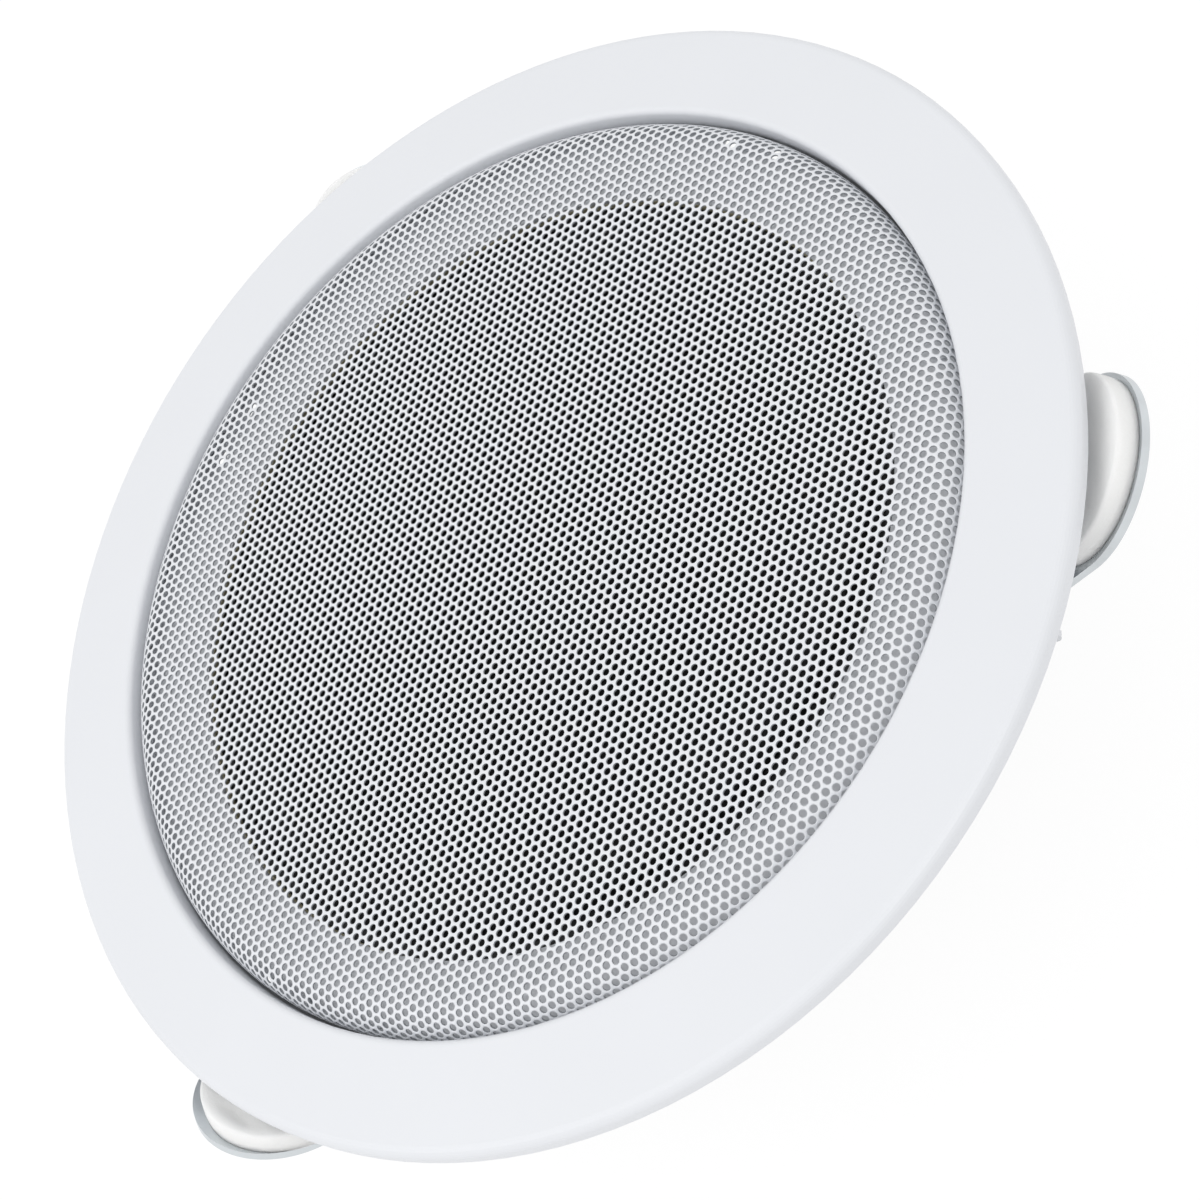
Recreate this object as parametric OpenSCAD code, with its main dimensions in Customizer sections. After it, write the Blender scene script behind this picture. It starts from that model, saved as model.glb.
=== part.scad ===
/* [Front] */
// Outside diameter of the front flange
flange_d = 180; // [176:1:184]
// Depth from the back of the magnet to the ridge of the flange
depth = 62; // [60:1:66]
// Thickness of the pressed steel front
sheet_t = 0.9; // [0.7:0.1:1.1]
// Diameter of the opening in the baffle
opening_d = 123.2; // [120:0.4:124]
// Drop from the ridge to the baffle
well_drop = 5; // [4:0.5:6]

/* [Grille] */
// Pitch of the coarse row of holes that stands for the fine one
hole_pitch = 5; // [4.2:0.1:6]
// Diameter of a hole
hole_d = 3.3; // [2:0.1:3.4]
// Thickness of the grille sheet
grille_t = 0.5; // [0.4:0.1:0.8]
// How far the face stands in front of the ridge
grille_proud = 0.6; // [0:0.1:1]
// Radius of the rolled shoulder
shoulder_r = 5; // [4:0.5:5.5]

/* [Clips] */
// Distance of the hinge pin from the speaker's axis
hinge_reach = 70.6; // [70.4:0.1:71]
// Height of the hinge pin above the back of the magnet
hinge_z = 37.5; // [37:0.1:42]
// Slope of a closed arm
arm_slope = 37.5; // [33:0.5:39]
// Width of an arm at its hinge
neck_w = 27.8; // [26:0.2:28]
// Radius of the round paddle
paddle_r = 13.9; // [13:0.1:14]
// Thickness of the foam pad
pad_t = 3.4; // [2:0.2:3.6]

/* [Driver] */
// Diameter of the magnet ring
magnet_d = 70; // [60:1:74]
// Thickness of the magnet ring
magnet_t = 11; // [9:1:11]
// Diameter of the driver frame
frame_d = 131.6; // [130:0.2:131.8]
// Diameter of the centre pole
pole_d = 24.8; // [24:0.2:25]

/* [Transformer] */
// Width of the core across its three legs
core_w = 30; // [28:1:30]
// Length of the core along the legs
core_l = 25; // [24:1:26]
// Thickness of the stack of laminations
core_t = 12; // [10:1:13]

/* [Hidden] */
flange_r = flange_d / 2;
back_of_baffle = depth - well_drop - sheet_t;
opening_r = opening_d / 2;
rim_round = 1.7;
rim_drop = 4.3;
face_drop = 1.1;
face_tilt = 4.7;
ridge_r = 75.1;
ridge_round = 1;
floor_round = 0.8;
lip_r = ridge_r - ridge_round * (1 + sin(face_tilt));

grille_r = lip_r - 0.7;
grille_z = depth + grille_proud;
skirt_z = depth - well_drop + 0.1;
tab_angles = [60, 150, 240, 330];
tab_w = 7;
tab_l = 3.5;
slot_w = 12;

clip_angles = [30, 150, 270];
plate_t = 1.1;
arm_t = 1.2;
pin_r = 1.25;
knuckle_gap = 0.05;
knuckle_r = pin_r + knuckle_gap + arm_t;
knuckle_in = 6;
paddle_reach = 17.9;
pad_margin = 0.8;
pad_reach = paddle_reach + 0.3;
ear_out = 15.4;
ear_reach = 74.5;
ear_back = 29.5;
web_reach = 67.5;
foot_l = 6;
foot_reach = 71;
rivet_r = 1;
rivet_head_r = 1.6;
rivet_reach = 68.6;
spring_wire = 1.2;
spring_r = 2.1;
spring_turns = 5.34;
spring_w = 8.6;

plate_z = 4;
plate_r = magnet_d / 2 - 3;
magnet_z = plate_z + magnet_t;
top_t = 4;
top_z = magnet_z + top_t;
gap_r = 14.2;
frame_r = frame_d / 2;
frame_t = 0.8;
gasket_t = 1;
seat_z = back_of_baffle - gasket_t;
ledge_z = seat_z - 0.9;
ledge_r = 59.6;
wall_top_r = 56;
wall_low_r = 37.6;
wall_low_z = 31.6;
window_count = 8;
window_turn = 97.5;
window_z = 33.6;
window_h = 16.5;
stud_count = 4;
stud_turn = 75;
stud_reach = 63.2;
stud_r = 1.5;
stud_hole_r = 1.8;
nut_r = 3.1;
nut_t = 2.4;
cone_r = 49;
cone_rim = 2.6;
neck_r = 13.05;
neck_z = 30.4;
spider_z = 29.6;
shelf_z = 28.4;
coil_r = 12.8;
coil_z = 12.5;
tag_turn = 120;

transformer_turn = 106;
transformer_z = 17;
mount_reach = 71.5;
mount_w = 43;
mount_foot = 67;
mount_rivet_side = 14;
core_leg = core_w / 6;
strap_t = 1;
block_turn = 75;
lead_r = 0.7;
tinsel_r = 0.45;

smooth = 96;
spun_steps = 128;

// Points along an arc about c
function arc(c, r, a0, a1, n = 6) =
    [for (i = [0:n]) let (a = a0 + (a1 - a0) * i / n) c + r * [cos(a), sin(a)]];

// Unit normal to the left of a step
function left_of(d) = [-d[1], d[0]] / norm(d);

// The same line moved t to its left, with mitred corners
function moved(p, t) = [for (i = [0:len(p) - 1])
    let (
        last = len(p) - 1,
        before = left_of(i > 0 ? p[i] - p[i - 1] : p[1] - p[0]),
        after = left_of(i < last ? p[i + 1] - p[i] : p[last] - p[last - 1]),
        m = before + after
    ) p[i] + m * 2 * t / (m * m)];

function reversed(p) = [for (i = [len(p) - 1:-1:0]) p[i]];

// Section of a sheet of thickness t on the left of a line
function sheet(p, t) = concat(p, reversed(moved(p, t)));

module spun(p) rotate_extrude($fn = spun_steps) polygon(p);

module ring(r0, r1, z0, z1)
    translate([0, 0, z0])
    linear_extrude(z1 - z0)
    difference() {
        circle(r = r1, $fn = smooth);
        circle(r = r0, $fn = smooth);
    }

module disc(r, z0, z1, at = [0, 0])
    translate([at[0], at[1], z0]) cylinder(r = r, h = z1 - z0, $fn = smooth);

// Copies round the speaker's axis
module around(angles) for (a = angles) rotate([0, 0, a]) children();

// A plate drawn in the plane of reach and height, w wide about y
module upright(w, y = 0)
    translate([0, y + w / 2, 0]) rotate([90, 0, 0]) linear_extrude(w) children();

function rounded_rect(w, h, r) = concat(
    arc([w / 2 - r, -h / 2 + r], r, -90, 0, 4), arc([w / 2 - r, h / 2 - r], r, 0, 90, 4),
    arc([-w / 2 + r, h / 2 - r], r, 90, 180, 4), arc([-w / 2 + r, -h / 2 + r], r, 180, 270, 4));

// A round wire swept along points
function unit(v) = v / norm(v);
function heading(p, i) = unit(p[min(i + 1, len(p) - 1)] - p[max(i - 1, 0)]);
function square_to(d, hint) = unit(cross(d, hint));
module wire(p, r, hint, sides = 8) {
    rings = [for (i = [0:len(p) - 1])
        let (d = heading(p, i), u = square_to(d, hint), v = cross(d, u))
        for (k = [0:sides - 1])
            p[i] + r * (cos(360 * k / sides) * u + sin(360 * k / sides) * v)];
    last = (len(p) - 1) * sides;
    walls = [for (i = [0:len(p) - 2], k = [0:sides - 1])
        let (a = i * sides, n = (k + 1) % sides)
        each [[a + k, a + n, a + sides + n], [a + k, a + sides + n, a + sides + k]]];
    caps = [[for (k = [sides - 1:-1:0]) k], [for (k = [0:sides - 1]) last + k]];
    polyhedron(points = rings, faces = concat([for (f = walls) reversed(f)],
        [for (f = caps) reversed(f)]), convexity = 6);
}

// Front view line of the flange, its lip and the baffle, from the rim inward
bezel_line = concat(
    [[flange_r, depth - rim_drop]],
    arc([flange_r - rim_round, depth - face_drop - rim_round], rim_round, 0, 90 - face_tilt),
    arc([ridge_r - ridge_round * sin(face_tilt), depth - ridge_round], ridge_round,
        90 - face_tilt, 180),
    arc([lip_r - floor_round, depth - well_drop + floor_round], floor_round, 0, -90, 4),
    [[opening_r, depth - well_drop]]);

module bezel() color([0.93, 0.94, 0.94]) {
    difference() {
        spun(sheet(bezel_line, sheet_t));
        around(tab_angles) translate([grille_r - 2, -slot_w / 2, back_of_baffle - 1])
            cube([2.15, slot_w, sheet_t + 2]);
        around(clip_angles) for (s = [-1, 1])
            disc(rivet_r, back_of_baffle - 1, depth, [rivet_reach, s * rivet_side()]);
        rotate([0, 0, transformer_turn]) for (s = [-1, 1])
            disc(rivet_r, back_of_baffle - 1, depth, [rivet_reach, s * mount_rivet_side]);
    }
    studs();
}

function rivet_side() = ear_out + foot_l / 2;

// Weld studs that hold the driver
module studs() for (i = [0:stud_count - 1]) rotate([0, 0, stud_turn + 360 / stud_count * i])
    disc(stud_r, stud_end(i), back_of_baffle + 0.1, [stud_reach, 0]);
function stud_end(i) = nut_top(i) - nut_t - 1;
function nut_top(i) = seat_z - frame_t - (i == 0 ? plate_t : 0);

face_r = grille_r - shoulder_r;
grille_line = concat(
    [[grille_r, skirt_z]],
    arc([face_r, grille_z - shoulder_r], shoulder_r, 0, 90, 8));

// Rows of holes at 60 degrees, one every pitch
module hole_field(reach) {
    rows = floor(reach / (hole_pitch * sin(60)));
    for (j = [-rows:rows], i = [-rows * 2:rows * 2]) {
        at = [hole_pitch * (i + (j % 2 == 0 ? 0 : 0.5)), hole_pitch * sin(60) * j];
        if (norm(at) < reach) translate(at) circle(d = hole_d, $fn = 24);
    }
}

module grille() color([0.9, 0.91, 0.91]) {
    translate([0, 0, grille_z - grille_t]) linear_extrude(grille_t) difference() {
        circle(r = face_r, $fn = spun_steps);
        rotate(50) hole_field(face_r - hole_d / 2 - 0.6);
    }
    spun(sheet(grille_line, grille_t));
    around(tab_angles) grille_tab();
}

module grille_tab() {
    bend_z = back_of_baffle - 0.05;
    translate([grille_r - grille_t, -tab_w / 2, bend_z - grille_t])
        cube([grille_t, tab_w, skirt_z + 0.3 - bend_z + grille_t]);
    translate([grille_r - tab_l, -tab_w / 2, bend_z - grille_t]) cube([tab_l, tab_w, grille_t]);
}

module gasket() color([0.72, 0.6, 0.42]) difference() {
    ring(opening_r - 0.2, frame_r, seat_z, back_of_baffle);
    stud_holes();
}

module stud_holes() for (i = [0:stud_count - 1]) rotate([0, 0, stud_turn + 360 / stud_count * i])
    disc(stud_hole_r, seat_z - 5, back_of_baffle + 1, [stud_reach, 0]);

frame_line = [[frame_r, seat_z], [ledge_r, seat_z], [ledge_r, ledge_z], [wall_top_r, ledge_z],
    [wall_low_r, wall_low_z], [36.6, shelf_z], [32.4, shelf_z], [31, top_z + frame_t],
    [16.6, top_z + frame_t]];

module driver_frame() color([0.16, 0.16, 0.17]) difference() {
    spun(sheet(frame_line, frame_t));
    stud_holes();
    around([for (i = [0:window_count - 1]) window_turn + 360 / window_count * i])
        translate([30, 0, window_z]) rotate([90, 0, 90]) linear_extrude(30) window();
    on_wall() translate([-3, 0, 0]) rotate([0, 90, 0]) cylinder(r = tag_rivet_r, h = 6, $fn = 32);
}

// A tapered window with rounded corners, its lower edge on the axis
module window() {
    wide = 17.4;
    narrow = 12.6;
    r = 2.6;
    lean = atan((wide - narrow) / 2 / window_h);
    low = narrow / 2 - r / tan((90 + lean) / 2);
    high = wide / 2 - r / tan((90 - lean) / 2);
    polygon(concat(arc([low, r], r, -90, -lean, 4), arc([high, window_h - r], r, -lean, 90, 4),
        arc([-high, window_h - r], r, 90, 180 + lean, 4), arc([-low, r], r, 180 + lean, 270, 4)));
}

roll_r = 4;
surround_line = concat([[ledge_r - 0.2, ledge_z], [cone_r + 2 * roll_r, ledge_z]],
    arc([cone_r + roll_r, ledge_z], roll_r - 0.2, 0, 180, 16), [[cone_r - cone_rim, ledge_z]]);
module surround() color([0.08, 0.08, 0.08]) spun(reversed(sheet(surround_line, -0.4)));

// A paper cone with a slightly flared wall, from its flat rim to its neck
flare = 0.12;
function cone_at(t) = [neck_r + (cone_r - cone_rim - neck_r) * t,
    neck_z + (ledge_z - neck_z) * t * (1 - flare * (1 - t))];
cone_line = concat([[cone_r, ledge_z]], [for (i = [10:-1:0]) cone_at(i / 10)]);
module cone() color([0.1, 0.1, 0.1]) spun(sheet(cone_line, 0.5));

cap_r = 16.4;
cap_h = 5.6;
cap_base = cone_at((cap_r - neck_r) / (cone_r - cone_rim - neck_r))[1] + 0.17;
cap_ball = (cap_r * cap_r + cap_h * cap_h) / (2 * cap_h);
cap_edge = asin((cap_ball - cap_h) / cap_ball);
cap_centre = [0, cap_base + cap_h - cap_ball];
module dust_cap() color([0.07, 0.07, 0.07])
    spun(concat(arc(cap_centre, cap_ball, cap_edge, 90, 8),
        arc(cap_centre, cap_ball - 0.35, 90, cap_edge, 8)));

module voice_coil() color([0.72, 0.45, 0.2]) {
    ring(coil_r, coil_r + 0.25, coil_z, neck_z + 0.6);
    ring(coil_r + 0.2, coil_r + 0.95, coil_z + 0.6, coil_z + 9);
}

spider_line = concat([[coil_r + 0.25, spider_z]],
    [for (i = [0:24]) [15.5 + i * 0.68, spider_z + 0.9 * sin(i * 60)]],
    [[32.6, shelf_z], [36.2, shelf_z]]);
module spider() color([0.75, 0.62, 0.3]) spun(sheet(spider_line, 0.35));

module top_plate() color([0.75, 0.76, 0.78]) ring(gap_r, plate_r, magnet_z, top_z);

module magnet() color([0.2, 0.2, 0.21]) {
    chamfer = 0.8;
    r = magnet_d / 2;
    spun([[16.5, plate_z], [r - chamfer, plate_z], [r, plate_z + chamfer],
        [r, magnet_z - chamfer], [r - chamfer, magnet_z], [16.5, magnet_z]]);
}

// Back plate and pole, turned as one piece
module back_plate() color([0.75, 0.76, 0.78])
    spun([[0, 0], [plate_r - 0.6, 0], [plate_r, 0.6], [plate_r, plate_z],
        [pole_d / 2, plate_z], [pole_d / 2, top_z - 0.5], [pole_d / 2 - 0.5, top_z], [0, top_z]]);

// The tag board lies along the sloped wall of the frame
wall_lean = atan((wall_top_r - wall_low_r) / (ledge_z - wall_low_z));
wall_mid = [(wall_top_r + wall_low_r) / 2, (ledge_z + wall_low_z) / 2];
module on_wall() rotate([0, 0, tag_turn]) translate([wall_mid[0], 0, wall_mid[1]])
    rotate([0, wall_lean, 0]) children();

board_t = 1.5;
module tag_board() color([0.45, 0.28, 0.14]) on_wall()
    translate([frame_t, 0, 0]) rotate([0, 90, 0]) difference() {
        linear_extrude(board_t) polygon(rounded_rect(11, 18, 1));
        for (s = [-1, 1]) translate([0, 6 * s, -1]) cylinder(r = 1, h = 4, $fn = 24);
        translate([0, 0, -1]) cylinder(r = tag_rivet_r, h = 4, $fn = 32);
    }

// Holds the board to the wall
tag_rivet_r = 1.3;
module tag_rivet() color([0.75, 0.76, 0.78]) on_wall() rotate([0, 90, 0]) {
    translate([0, 0, -0.5]) cylinder(r = tag_rivet_r - 0.02, h = frame_t + board_t + 0.9, $fn = 32);
    translate([0, 0, -0.7]) cylinder(r = 2.2, h = 0.6, $fn = 32);
    translate([0, 0, frame_t + board_t]) cylinder(r = 2.2, h = 0.6, $fn = 32);
}

module driver_tags() color([0.8, 0.72, 0.45]) on_wall() for (s = [-1, 1])
    translate([frame_t + board_t, 6 * s, 0]) {
        translate([0, -1.6, -3]) cube([0.5, 3.2, 11]);
        translate([-1.4, 0, 0]) rotate([0, 90, 0]) cylinder(r = 0.98, h = 2.6, $fn = 24);
    }

module tinsel_leads() color([0.75, 0.5, 0.3]) rotate([0, 0, tag_turn]) for (s = [-1, 1])
    wire([[53, 6 * s, 48.4], [52.6, 9 * s, 48.6], [51, 13 * s, 47], [48, 15.6 * s, 44.5],
        [44, 16.2 * s, 42], [40, 15.4 * s, 39.6], [36, 13.6 * s, 38.2], [32, 11.2 * s, 37.8],
        [28.6, 9 * s, 39]], tinsel_r, [0, 0, 1]);

module driver_nuts() color([0.8, 0.8, 0.78]) for (i = [0:stud_count - 1])
    rotate([0, 0, stud_turn + 360 / stud_count * i])
    translate([stud_reach, 0, nut_top(i) - nut_t]) difference() {
        rotate([0, 0, 30]) cylinder(r = nut_r, h = nut_t, $fn = 6);
        translate([0, 0, -1]) cylinder(r = stud_r + 0.02, h = nut_t + 2, $fn = 24);
    }

// Outline of a bracket's ear in the plane of reach and height
ear_shape = concat([[web_reach - plate_t, back_of_baffle], [web_reach - plate_t, ear_back + 1.5],
    [web_reach + 0.4, ear_back]], arc([ear_reach - 3, ear_back + 3], 3, -90, 0, 5),
    [[ear_reach, 44], [foot_reach, 54.4], [foot_reach, back_of_baffle]]);

module clip_bracket(n) color([0.93, 0.94, 0.94]) rotate([0, 0, clip_angles[n - 1]]) {
    difference() {
        union() {
            for (s = [-1, 1]) upright(plate_t, s * (ear_out - plate_t / 2)) polygon(ear_shape);
            translate([web_reach - plate_t, -ear_out, ear_back + 1.5])
                cube([plate_t, 2 * ear_out, back_of_baffle - ear_back - 1.5]);
            for (s = [-1, 1]) translate([web_reach - plate_t,
                s > 0 ? ear_out - 0.1 : -ear_out - foot_l + 0.1, back_of_baffle - plate_t])
                cube([foot_reach - web_reach + plate_t, foot_l, plate_t]);
        }
        translate([hinge_reach, -20, hinge_z]) rotate([-90, 0, 0])
            cylinder(r = pin_r + 0.02, h = 40, $fn = 32);
        for (s = [-1, 1])
            disc(rivet_r, back_of_baffle - 3, back_of_baffle + 1, [rivet_reach, s * rivet_side()]);
    }
}

module clip_pin(n) color([0.75, 0.76, 0.78]) rotate([0, 0, clip_angles[n - 1]])
    translate([hinge_reach, 0, hinge_z]) rotate([-90, 0, 0]) {
        translate([0, 0, -ear_out - 1.2]) cylinder(r = pin_r, h = 2 * ear_out + 2.4, $fn = 32);
        for (z = [-ear_out - 1.25, ear_out + 0.05])
            translate([0, 0, z]) cylinder(r = 2.3, h = 1.2, $fn = 32);
    }

// A clip's own axes: x along the arm, z square to it towards the flange
module on_clip(n) rotate([0, 0, clip_angles[n - 1]])
    translate([hinge_reach, 0, hinge_z]) rotate([0, -arm_slope, 0]) children();

arm_low = -knuckle_r;
module clip_arm(n) color([0.7, 0.73, 0.75]) on_clip(n) difference() {
    union() {
        translate([0, 0, arm_low]) linear_extrude(arm_t) difference() {
            union() {
                translate([0, -neck_w / 2]) square([paddle_reach, neck_w]);
                translate([paddle_reach, 0]) circle(r = paddle_r, $fn = smooth);
            }
            translate([-1, -knuckle_in]) square([6, 2 * knuckle_in]);
        }
        for (y = [-neck_w / 2, knuckle_in]) translate([0, y, 0]) rotate([-90, 0, 0])
            cylinder(r = knuckle_r, h = neck_w / 2 - knuckle_in, $fn = 48);
    }
    translate([0, -20, 0]) rotate([-90, 0, 0])
        cylinder(r = pin_r + knuckle_gap, h = 40, $fn = 32);
}

module clip_pad(n) color([0.92, 0.93, 0.93]) on_clip(n)
    translate([pad_reach, 0, arm_low + arm_t])
    cylinder(r = paddle_r - pad_margin, h = pad_t, $fn = smooth);

// One leg lies under the arm, the coil runs round the pin, the other leg bears on the web
spring_steps = 14;
spring_path = concat(
    [leg_at(12, -knuckle_r - 0.65), leg_at(5.2, -knuckle_r - 0.65), leg_at(1.6, -spring_r - 0.3)],
    [for (i = [0:floor(spring_turns * spring_steps)])
        let (a = -90 + arm_slope - 360 * i / spring_steps)
        [spring_r * cos(a), -spring_w / 2 + spring_w * i / (spring_turns * spring_steps),
            spring_r * sin(a)]],
    [[-spring_r - 0.1, spring_w / 2, 3], [-spring_r - 0.25, spring_w / 2, 8.5]]);
function leg_at(x, z) = [x * cos(arm_slope) - z * sin(arm_slope), -spring_w / 2,
    x * sin(arm_slope) + z * cos(arm_slope)];
module clip_spring(n) color([0.55, 0.56, 0.58]) rotate([0, 0, clip_angles[n - 1]])
    translate([hinge_reach, 0, hinge_z]) wire(spring_path, spring_wire / 2, [0.02, 1, 0]);

module clip_rivets() color([0.8, 0.8, 0.8]) around(clip_angles) for (s = [-1, 1])
    translate([rivet_reach, s * rivet_side(), 0]) rivet();

// A rivet through the baffle and one plate behind it
module rivet() {
    disc(rivet_r - 0.02, back_of_baffle - plate_t - 0.1, back_of_baffle + sheet_t + 0.1);
    disc(rivet_head_r, back_of_baffle - plate_t - 0.8, back_of_baffle - plate_t);
    disc(rivet_head_r, back_of_baffle + sheet_t, back_of_baffle + sheet_t + 0.5);
}

module on_transformer() rotate([0, 0, transformer_turn]) children();
module transformer_mount() color([0.75, 0.76, 0.78]) on_transformer() difference() {
    union() {
        translate([mount_reach, -mount_w / 2, transformer_z - 10])
            cube([plate_t, mount_w, back_of_baffle - transformer_z + 10]);
        translate([mount_foot, -mount_w / 2, back_of_baffle - plate_t])
            cube([mount_reach - mount_foot + 0.2, mount_w, plate_t]);
    }
    for (s = [-1, 1]) {
        disc(rivet_r, back_of_baffle - 3, back_of_baffle + 1, [rivet_reach, s * mount_rivet_side]);
        translate([mount_reach - 1, s * strap_side(), transformer_z]) rotate([0, 90, 0])
            cylinder(r = 1.6, h = 4, $fn = 32);
    }
    translate([mount_reach - 1, 0, 42]) rotate([90, 0, 90])
        linear_extrude(4) polygon(rounded_rect(17, 14, 3));
}
function strap_side() = core_w / 2 + strap_t + 3;

module transformer_rivets() color([0.8, 0.8, 0.8]) on_transformer() for (s = [-1, 1])
    translate([rivet_reach, s * mount_rivet_side, 0]) rivet();

core_x = mount_reach - core_l;
module transformer_core() color([0.35, 0.36, 0.38]) on_transformer()
    translate([core_x, 0, transformer_z - core_t / 2]) linear_extrude(core_t) difference() {
        translate([0, -core_w / 2]) square([core_l, core_w]);
        for (s = [-1, 1]) translate([core_leg, s * 1.5 * core_leg - core_leg / 2])
            square([core_l - 2 * core_leg, core_leg]);
    }

// A rounded tube along the centre leg
module sleeve(x0, x1, w, h, r) translate([x0, 0, transformer_z]) rotate([90, 0, 90])
    linear_extrude(x1 - x0) polygon(rounded_rect(w, h, r));
module leg_bore(grow) translate([core_x, -core_leg - 0.1 - grow,
    transformer_z - core_t / 2 - 0.1 - grow])
    cube([core_l, 2 * core_leg + 0.2 + 2 * grow, core_t + 0.2 + 2 * grow]);

cheek_w = 4 * core_leg - 0.4;
bobbin_0 = core_x + core_leg + 0.2;
bobbin_1 = core_x + core_l - core_leg - 0.2;
module transformer_bobbin() color([0.9, 0.88, 0.8]) on_transformer() difference() {
    union() {
        sleeve(bobbin_0, bobbin_0 + 0.9, cheek_w, core_t + 10, 0.6);
        sleeve(bobbin_1 - 0.9, bobbin_1, cheek_w, core_t + 10, 0.6);
        leg_bore_shell();
    }
    leg_bore(0);
}
module leg_bore_shell() intersection() {
    leg_bore(0.8);
    translate([bobbin_0, -20, 0]) cube([bobbin_1 - bobbin_0, 40, 60]);
}
module transformer_winding() color([0.85, 0.68, 0.2]) on_transformer() difference() {
    sleeve(bobbin_0 + 0.9, bobbin_1 - 0.9, cheek_w - 0.6, core_t + 9, 1.8);
    leg_bore(0.8);
}

module transformer_strap() color([0.75, 0.76, 0.78]) on_transformer() difference() {
    translate([0, 0, transformer_z - core_t / 2]) linear_extrude(core_t) difference() {
        union() {
            translate([core_x - strap_t, -core_w / 2 - strap_t])
                square([core_l + strap_t, core_w + 2 * strap_t]);
            translate([mount_reach - strap_t, -mount_w / 2]) square([strap_t, mount_w]);
        }
        translate([core_x, -core_w / 2]) square([core_l + 1, core_w]);
    }
    for (s = [-1, 1]) translate([mount_reach - 3, s * strap_side(), transformer_z])
        rotate([0, 90, 0]) cylinder(r = 1.6, h = 4, $fn = 32);
}

module transformer_screws() color([0.8, 0.8, 0.78]) on_transformer() for (s = [-1, 1])
    translate([mount_reach, s * strap_side(), transformer_z]) rotate([0, 90, 0]) {
        translate([0, 0, plate_t]) cylinder(r1 = 2.7, r2 = 2.2, h = 1.4, $fn = 32);
        translate([0, 0, -strap_t - 3]) cylinder(r = 1.4, h = strap_t + 3.1 + plate_t, $fn = 32);
        translate([0, 0, -strap_t - 2.2]) cylinder(r = 2.6, h = 2.2, $fn = 6);
    }

block_reach = 67.4;
block_z = 37.4;
block_h = 10.4;
block_w = 18.6;
block_d = 8.4;
bracket_in = 60.6;
module on_block() rotate([0, 0, block_turn]) children();
module terminal_bracket() color([0.75, 0.76, 0.78]) on_block() difference() {
    top = seat_z - frame_t;
    union() {
        translate([block_reach - plate_t, -6, block_z - 1]) cube([plate_t, 12, top - block_z + 1]);
        translate([bracket_in, -6, top - plate_t]) cube([block_reach - bracket_in, 12, plate_t]);
    }
    disc(stud_hole_r, top - 4, top + 1, [stud_reach, 0]);
    through_block(1.3, -3, 4);
}

// A round bar or bore through the middle of the block
module through_block(r, x0, l, sides = 32)
    translate([block_reach + x0, 0, block_z + block_h / 2])
    rotate([0, 90, 0]) cylinder(r = r, h = l, $fn = sides);

// Way centres across the block
block_ways = [-5.6, 5.6];
module terminal_block() color([0.92, 0.92, 0.88]) on_block() difference() {
    translate([block_reach, -block_w / 2, block_z]) cube([block_d, block_w, block_h]);
    for (y = block_ways) {
        translate([block_reach + 4.6, y, block_z + block_h / 2]) rotate([0, 90, 0])
            cylinder(r = 2.2, h = 8, $fn = 24);
        translate([block_reach + 4, y, block_z - 1]) cylinder(r = 1.7, h = 3.6, $fn = 24);
        translate([block_reach + 4, y, block_z + block_h - 2.6]) cylinder(r = 1.7, h = 4, $fn = 24);
    }
    translate([block_reach + block_web, -1.7, block_z - 1])
        cube([block_d, 3.4, block_h + 2]);
    through_block(2.5, block_web, block_d);
    through_block(1.3, -1, block_d);
}

// Screw and nut through the middle of the block
block_web = 3;
module block_screw() color([0.8, 0.8, 0.78]) on_block() {
    nut_h = 2;
    through_block(2.2, block_web, 1.5);
    through_block(1.25, -plate_t - nut_h - 0.8, plate_t + nut_h + 0.9 + block_web);
    through_block(2.6, -plate_t - nut_h, nut_h, 6);
}

module terminal_screws() color([0.8, 0.75, 0.5]) on_block() for (y = block_ways)
    translate([block_reach + 4.6, y, block_z + block_h / 2]) rotate([0, 90, 0]) difference() {
        cylinder(r = 1.9, h = 2.4, $fn = 24);
        translate([-3, -0.25, 1.8]) cube([6, 0.5, 2]);
    }

// Leads from the block to the winding
module input_leads() color([0.15, 0.15, 0.16]) {
    wire([[13.1, 70.4, 38.6], [13.1, 70, 35.4], [11, 68.8, 31.8], [6, 66.2, 29.6],
        [0, 63, 29], [-6, 60.2, 29.3], [-9.4, 58.8, 29.5], [-10.8, 58.3, 28.8],
        [-10.8, 58.3, 27.5]], lead_r, [0.1, 1, 0]);
    wire([[23.9, 67.5, 38.6], [23.4, 67, 35], [19.8, 65.2, 31.4], [12, 62.2, 29.4],
        [3, 59.2, 29], [-4, 56.9, 29.3], [-8.4, 55.8, 29.5], [-9.8, 55.3, 28.8],
        [-9.8, 55.3, 27.5]], lead_r, [0.1, 1, 0]);
}

// Leads from the winding to the driver's tags
module output_leads() color([0.7, 0.1, 0.1]) {
    wire([[-21.5, 53.1, 27.5], [-21.5, 53.1, 28.8], [-22.6, 52, 30.6], [-25.4, 49.2, 33],
        [-28.6, 46, 36], [-30.6, 42.6, 38.4], [-29.7, 39.5, 39.4]], lead_r, [1, 1, 0]);
    wire([[-17.1, 52.3, 27.5], [-17.1, 52.3, 28.8], [-17.3, 51.6, 30.8], [-17.7, 50.4, 33.4],
        [-18.4, 48.4, 36.8], [-19.2, 45.4, 39.4]], lead_r, [1, 0, 0]);
}

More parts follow.
